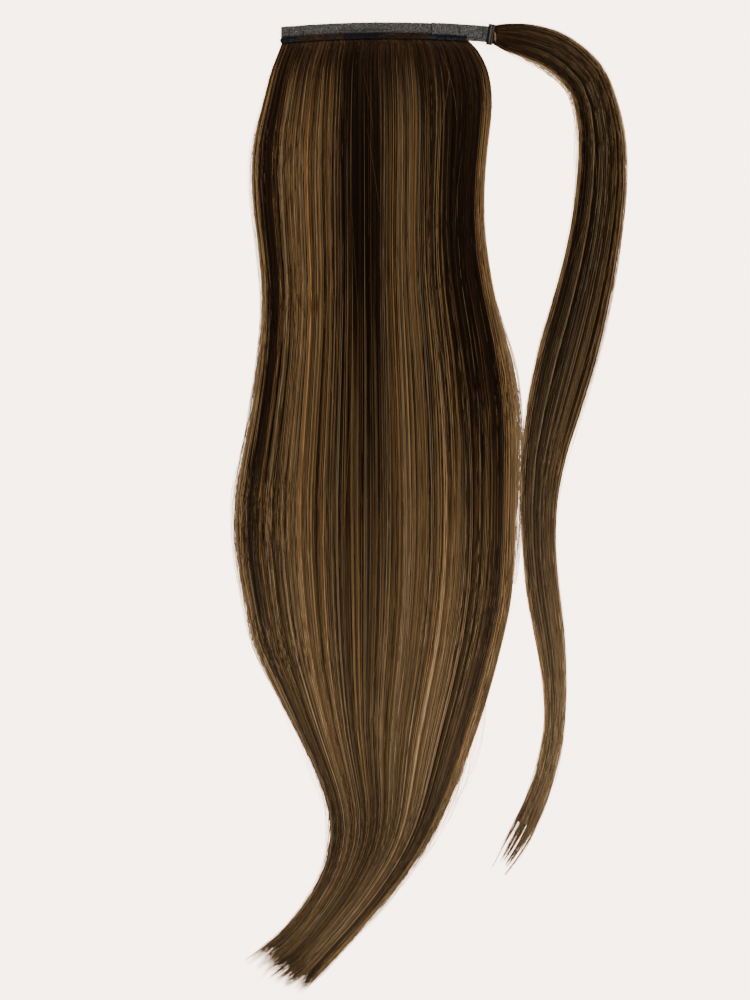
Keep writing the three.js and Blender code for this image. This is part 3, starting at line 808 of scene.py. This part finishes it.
def makeNap():
    rng = np.random.default_rng(51)
    stripArea = (stripHigh[0] - stripLow[0]) * tabBeside
    tabArea = (tabHigh[0] - tabLow[0]) * tape["tabWidth"]
    roots = []
    for left, right, level, area, depth in (
            (stripLow[0], stripHigh[0], nap["level"], stripArea, lambda x: bindingTop + 0 * x),
            (tabLow[0], tabHigh[0], upperLevel + nap["level"], tabArea, tabBottom)):
        count = int(area / mm ** 2 * nap["perSquareMm"])
        x = rng.uniform(left, right, count)
        y = tapeTop - archDrop(x) - rng.uniform(0.0, 1.0, count) * depth(x)
        roots.append(np.stack([x, y, np.full(count, level)], -1))
    roots = np.concatenate(roots)
    count = len(roots)
    heading = rng.uniform(0, 2 * np.pi, count)
    reach = rng.uniform(*nap["reach"], count)
    ahead = np.stack([np.cos(heading), np.sin(heading), 0 * heading], -1) * reach[:, None]
    height = rng.uniform(*nap["height"], count)
    steps = nap["steps"]
    points = roots[:, None, :] + ahead[:, None, :] * steps[None, :, None]
    points[..., 2] += height[:, None] * np.sin(steps * np.pi * nap["hoop"])
    greys = np.where(rng.random((count, 1)) < nap["paleShare"], linear(nap["pale"]), linear(nap["plain"]))
    greys = np.where(rng.random((count, 1)) < nap["darkShare"], linear(nap["dark"]), greys)
    greys = np.repeat((greys * rng.uniform(*nap["vary"], (count, 1)))[:, None, :], len(steps), axis=1)
    obj = tubesFromArrays("tapeNap", points, np.full((count, len(steps)), nap["radius"]), greys)
    dress(obj, napMaterial, "tape")


makeNap()


# Thread wound round the tab's end and the root of the wrap lock
whip = {
    "turns": 11, "radius": 0.26 * mm, "length": 4.4 * mm, "width": 13.6 * mm, "height": 5.6 * mm,
    "turn": np.radians(-9), "ringsATurn": 28, "square": 0.7, "wobble": 0.05 * mm, "blend": 0.12,
    "vary": (0.75, 1.25), "endSpan": (0.7, 0.95), "endDark": 0.8,
    "shades": ["060608", "08080b", "0a0a0e", "0c0c10", "3b3a35", "47453d", "3a3934", "0c0c10", "0f0e12",
               "4d4232", "2a231b"],
}


def makeWhipping():
    ahead = np.array([np.cos(whip["turn"]), np.sin(whip["turn"]), 0])
    across = np.array([-ahead[1], ahead[0], 0])
    start = np.array([tabHigh[0] - whip["length"] / 2, tapeTop - tape["rise"] - tape["tabWidth"] / 2, 0])
    rings = whip["turns"] * whip["ringsATurn"]
    angle = np.linspace(0, 2 * np.pi * whip["turns"], rings)
    waves = np.cos(angle), np.sin(angle)
    shapeX, shapeZ = (np.sign(wave) * np.abs(wave) ** whip["square"] for wave in waves)
    share = angle / angle[-1]
    rng = np.random.default_rng(61)
    wobble = rng.normal(0, whip["wobble"], rings)
    onward = whip["radius"] + share * (whip["length"] - 2 * whip["radius"]) + wobble
    aside = shapeX * (whip["width"] / 2 - whip["radius"])
    points = start + ahead * onward[:, None] + across * aside[:, None]
    points[:, 2] = whip["height"] / 2 + shapeZ * (whip["height"] / 2 - whip["radius"])
    shades = np.array([linear(code) for code in whip["shades"]])
    last = len(shades) - 1
    turn = np.clip(share * len(shades) + rng.normal(0, whip["blend"], rings), 0, last).astype(int)
    # painted shade: the thread darkens toward its darkest colour where it turns round the ends of the oval
    ends = smoothStep(np.abs(shapeX), *whip["endSpan"])[:, None]
    colours = shades[turn] * rng.uniform(*whip["vary"], (rings, 1))
    colours = colours + (shades[0] - colours) * ends * whip["endDark"]
    radius = np.full((1, rings), whip["radius"])
    obj = tubesFromArrays("whippingThread", points[None], radius, colours[None], sides=8)
    dress(obj, threadMaterial, "binding", "lock_whipping")


makeWhipping()
print("made nap and whipping")


def underTop(x, depth):                     # a place measured down from the tape's arched upper edge
    return tapeTop - archDrop(x) - depth


# Threads: overcast stitches, dashes, seams on the tape and brown root hairs caught in the binding
bindingFace = bindingHigh[2]
stitches = {
    "vary": (0.7, 1.3),
    "overcast": {"pitch": 1.15 * mm, "radius": 0.17 * mm, "tall": 1.9 * mm, "ends": (0.8 * mm, 0.5 * mm),
                 "slant": (-0.3, 0.7), "above": (0.2, 0.8), "share": (0.5, 1.1), "level": (0.1, 0.2),
                 "code": "121217"},
    "dashes": {"pitch": 1.7 * mm, "radius": 0.16 * mm, "spans": [(-94.5 * mm, -80 * mm), (-2 * mm, 24 * mm)],
               "depths": (9.3 * mm, 10.2 * mm), "reach": (0.8, 1.4), "shift": (0, 0.5),
               "uneven": 0.12 * mm, "level": (0.05, 0.2), "codes": ["3b4046", "23262b", "15161a"]},
    "rootHairs": {"count": 200, "radius": 0.09 * mm, "spans": [(-84 * mm, -54 * mm), (-31 * mm, 1 * mm)],
                  "reach": (1.5, 5.0), "rise": (-0.9, 0.9), "depth": (7.5, 8.0, 10.4), "level": (0.1, 0.3),
                  "codes": ["3f2a15", "2a1a0d", "4d341a", "150d07", "1c120a"]},
    "longLines": [(-58 * mm, -27 * mm, 5.3 * mm, "101014"), (-56 * mm, -28 * mm, 6.5 * mm, "3c4039"),
                  (-90 * mm, -30 * mm, 8.7 * mm, "0b0a0c"), (-31 * mm, 33 * mm, 8.4 * mm, "0a0a0c")],
    "longStitch": {"pitch": 8 * mm, "long": 8.4 * mm, "uneven": 0.08 * mm, "radius": 0.2 * mm},
    "seams": [                              # x and depth at both ends and how far it bows, in mm
        (1.4, 2.0, 0.4, 7.0, 0), (18.0, 19.4, 0.6, 7.0, 0.9), (-83.0, -80.6, 2.0, 6.6, 0.2),
        (-91.4, -90.9, 0.1, 1.0, 0), (-88.6, -90.0, 0.5, 6.0, -0.6), (34.6, 34.2, 1.0, 9.0, 0.4)],
    "seamThread": {"shifts": (0, 0.25), "level": (3.0, 0.12), "radius": 0.15 * mm, "code": "25201d"},
    "loneEnd": {"x": (-34.5, 0.3), "depth": (1.2, -2.8), "level": (1.5, 0.2), "radius": 0.14 * mm,
                "code": "17171b"},
    "overWhip": {"shifts": (0, 0.3, 0.6, 0.9), "x": 2.2 * mm, "bow": 0.25, "depth": (3.8, 5.6),
                 "lift": 0.05 * mm, "radius": 0.13 * mm, "code": "6b573c"},
    "knot": {"shifts": (0, 0.5, 1.0, 1.5), "x": (0.9, -1.5), "depth": (8.6, -0.5), "level": (0.3, 0.5),
             "radius": 0.25 * mm, "code": "0c0b0e"},
}


def makeStitches():
    rng = np.random.default_rng(71)
    paths, widths, tints = [], [], []

    def add(x, depth, z, width, code):
        paths.append(np.stack([x, underTop(x, depth), z], -1))
        widths.append(np.full(len(x), width))
        tints.append(np.tile(linear(code) * rng.uniform(*stitches["vary"]), (len(x), 1)))

    steps = np.linspace(0, 1, 7)
    hump = np.sin(steps * np.pi)

    def raised(level, share=1):             # lowest at a stitch's ends
        return (level[0] + level[1] * hump * share) * mm

    spec = stitches["overcast"]
    for x in np.arange(bindingLow[0] + spec["ends"][0], bindingHigh[0] - spec["ends"][1], spec["pitch"]):
        slant = rng.uniform(*spec["slant"]) * mm
        head = bindingTop - rng.uniform(*spec["above"]) * mm
        tall = spec["tall"] * rng.uniform(*spec["share"])
        level = bindingFace + raised(spec["level"])
        add(x + slant * steps, head + tall * steps, level, spec["radius"], spec["code"])
    spec = stitches["dashes"]
    for low, high in spec["spans"]:
        for x in np.arange(low, high, spec["pitch"]):
            for depth in spec["depths"]:
                reach = rng.uniform(*spec["reach"]) * mm
                level = bindingFace + raised(spec["level"])
                code = rng.choice(spec["codes"])
                add(x + rng.uniform(*spec["shift"]) * mm + reach * steps,
                    depth + rng.normal(0, spec["uneven"]) + 0 * steps, level, spec["radius"], code)
    spec = stitches["rootHairs"]
    for low, high in spec["spans"]:
        for x in rng.uniform(low, high, spec["count"] // 2):
            reach, rise = rng.uniform(*spec["reach"]) * mm, rng.uniform(*spec["rise"]) * mm
            add(x + reach * (steps - 0.5), rng.triangular(*spec["depth"]) * mm + rise * (steps - 0.5),
                bindingFace + raised(spec["level"], rng.random()), spec["radius"],
                rng.choice(spec["codes"]))
    spec = stitches["longStitch"]
    for low, high, depth, code in stitches["longLines"]:
        for left in np.arange(low, high, spec["pitch"]):
            x = left + spec["long"] * steps
            level = bindingFace + spec["radius"] + 0 * steps
            add(x, depth + rng.normal(0, spec["uneven"], len(steps)), level, spec["radius"], code)
    spec = stitches["seamThread"]
    for x0, x1, d0, d1, bow in stitches["seams"]:
        for shift in spec["shifts"]:
            x = (x0 + shift + (x1 - x0) * steps + bow * hump) * mm
            add(x, (d0 + (d1 - d0) * steps) * mm, raised(spec["level"]), spec["radius"], spec["code"])
    spec = stitches["loneEnd"]              # a thread's end past the tape's upper edge
    add((spec["x"][0] + spec["x"][1] * steps) * mm, (spec["depth"][0] + spec["depth"][1] * steps) * mm,
        raised(spec["level"]), spec["radius"], spec["code"])
    spec = stitches["overWhip"]             # light threads over the whipping
    for shift in spec["shifts"]:
        add(tabHigh[0] + spec["x"] + (shift + spec["bow"] * hump) * mm,
            (spec["depth"][0] + spec["depth"][1] * steps + shift) * mm,
            whip["height"] + spec["lift"] + 0 * steps, spec["radius"], spec["code"])
    spec = stitches["knot"]                 # a small knot at the binding's left end
    for shift in spec["shifts"]:
        add(bindingLow[0] + (spec["x"][0] + spec["x"][1] * steps) * mm,
            (spec["depth"][0] + shift + spec["depth"][1] * steps) * mm,
            upperLevel + raised(spec["level"]), spec["radius"], spec["code"])
    obj = tubesFromArrays("stitchThreads", np.array(paths), np.array(widths), np.array(tints), sides=5)
    dress(obj, threadMaterial, "binding")


makeStitches()

# Loose hairs: fine ones along the edges and at the tips, pale wisps inside the wrap lock's bend,
# some that close the slit beside the wrap lock, and a few that cross the hair
loose = {
    "usual": {"lane": 0.96, "arc": (1.6, 3.1)}, "rings": 11, "lift": 0.3 * mm, "levels": (0.2, 0.9),
    "sink": 0.4, "thinner": 0.7,
    "crossReach": (0.05, 0.12), "crossLanes": (-0.8, 0.8), "crossLift": 0.1 * mm, "crossLevel": 1.03,
    "crossRadius": 0.07 * mm, "crossThinner": 0.6, "crossGlow": (0.7, 1.5),
    "along": [
        {"flow": curtainFlow, "count": 200, "from": (0.03, 0.85), "reach": (0.08, 0.28), "end": 0.98,
         "leftShare": 0.6, "out": 0.05, "radius": (0.05, 0.09), "pale": 0},
        {"flow": curtainFlow, "count": 130, "from": (0.18, 0.56), "reach": (0.1, 0.24), "end": 0.8,
         "leftShare": 1.0, "out": 0.05, "arc": (1.2, 3.1), "radius": (0.08, 0.15),
         "pale": 0.25},
        {"flow": curtainFlow, "count": 150, "from": (0.62, 0.88), "reach": (0.06, 0.14), "end": 0.99,
         "leftShare": 0.3, "out": 0.18, "arc": (1.2, 2.6), "radius": (0.08, 0.13), "pale": 0.1},
        {"flow": curtainFlow, "count": 240, "from": (0.76, 0.92), "reach": (0.05, 0.1), "end": 1.02,
         "lane": 0.84, "leftShare": 0.6, "out": 0.3, "arc": (0.8, 1.4), "radius": (0.1, 0.17), "pale": 0},
        {"flow": wrapFlow, "count": 140, "from": (0.04, 0.95), "reach": (0.08, 0.28), "end": 1.0,
         "leftShare": 0.6, "out": 0.12, "radius": (0.05, 0.1), "pale": 0.2},
        {"flow": wrapFlow, "count": 80, "from": (0.03, 0.15), "reach": (0.08, 0.18), "end": 0.4,
         "leftShare": 1.0, "out": 0.27, "radius": (0.08, 0.15), "pale": 0.7},
        {"flow": wrapFlow, "count": 50, "from": (0.08, 0.3), "reach": (0.08, 0.2), "end": 0.5,
         "leftShare": 0.0, "out": 0.08, "radius": (0.08, 0.14), "pale": 0.6},
        {"flow": wrapFlow, "count": 70, "from": (0.78, 0.92), "reach": (0.06, 0.12), "end": 1.0,
         "lane": 0.9, "leftShare": 0.3, "out": 0.5, "arc": (0.8, 1.4), "radius": (0.08, 0.14), "pale": 0.2},
        {"flow": curtainFlow, "count": 90, "from": (0.3, 0.4), "reach": (0.11, 0.17), "end": 0.53,
         "lane": 0.99, "leftShare": 0.0, "out": 0.055, "arc": (2.6, 3.1), "radius": (0.1, 0.17),
         "pale": 0.3}],
    "across": [
        {"flow": curtainFlow, "count": 26, "from": (0.05, 0.75), "drift": (0.04, 0.12)},
        {"flow": wrapFlow, "count": 12, "from": (0.1, 0.8), "drift": (0.2, 0.5)}],
}


def looseAlong(spec, rng):
    count = spec["count"]
    share = np.linspace(0, 1, loose["rings"])[None, :]
    t = rng.uniform(*spec["from"], (count, 1)) + share * rng.uniform(*spec["reach"], (count, 1))
    t = np.minimum(t, spec["end"])
    edge = np.where(rng.random((count, 1)) < spec["leftShare"], -1, 1)
    off = spec["out"] * rng.random((count, 1)) ** 1.5 * np.sin(share * rng.uniform(*spec["arc"], (count, 1)))
    x, y, crown, lift = spec["flow"](t, edge * (spec["lane"] + off))
    above = crown * rng.uniform(*loose["levels"], (count, 1)) * (1 - share * loose["sink"])
    z = lift + loose["lift"] + above
    radius = rng.uniform(*spec["radius"], (count, 1)) * mm * (1 - loose["thinner"] * share ** 3)
    shade = dyeAndPaintedLight["brown"] + (dyeAndPaintedLight["gold"] - dyeAndPaintedLight["brown"]) * rng.random((count, 1, 1))
    shade = shade + (dyeAndPaintedLight["pale"] - shade) * spec["pale"]
    return np.stack([x, y, z], -1), radius, np.repeat(shade, loose["rings"], axis=1)


def looseAcross(spec, rng):
    count = spec["count"]
    share = np.linspace(0, 1, loose["rings"])[None, :]
    t = rng.uniform(*spec["from"], (count, 1)) + share * rng.uniform(*loose["crossReach"], (count, 1))
    drift = rng.uniform(*spec["drift"], (count, 1)) * rng.choice([-1, 1], (count, 1))
    lane = rng.uniform(*loose["crossLanes"], (count, 1)) + drift * (share - 0.5)
    x, y, crown, lift = spec["flow"](t, lane)
    z = lift + crown * loose["crossLevel"] + loose["crossLift"]
    thin = 1 - loose["crossThinner"] * np.abs(2 * share - 1) ** 3
    radius = np.full((count, 1), loose["crossRadius"]) * thin
    shade = dyeAndPaintedLight["gold"] * rng.uniform(*loose["crossGlow"], (count, 1, 1))
    return np.stack([x, y, z], -1), radius, np.repeat(shade, loose["rings"], axis=1)


def makeLooseHairs():
    rng = np.random.default_rng(81)
    parts = [looseAlong({**loose["usual"], **spec}, rng) for spec in loose["along"]]
    parts += [looseAcross(spec, rng) for spec in loose["across"]]
    points, radius, colours = (np.concatenate(column) for column in zip(*parts))
    obj = tubesFromArrays("looseHairs", points, radius, colours)
    dress(obj, hairMaterial, "hair")


makeLooseHairs()
print("made stitches and loose hairs")

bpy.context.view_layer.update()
pieces = [o for o in bpy.data.objects if o.type == "MESH" and not o.hide_render]
counts = {o.name: sum(len(p.vertices) - 2 for p in o.data.polygons) for o in pieces}
print("triangles", sum(counts.values()), counts)
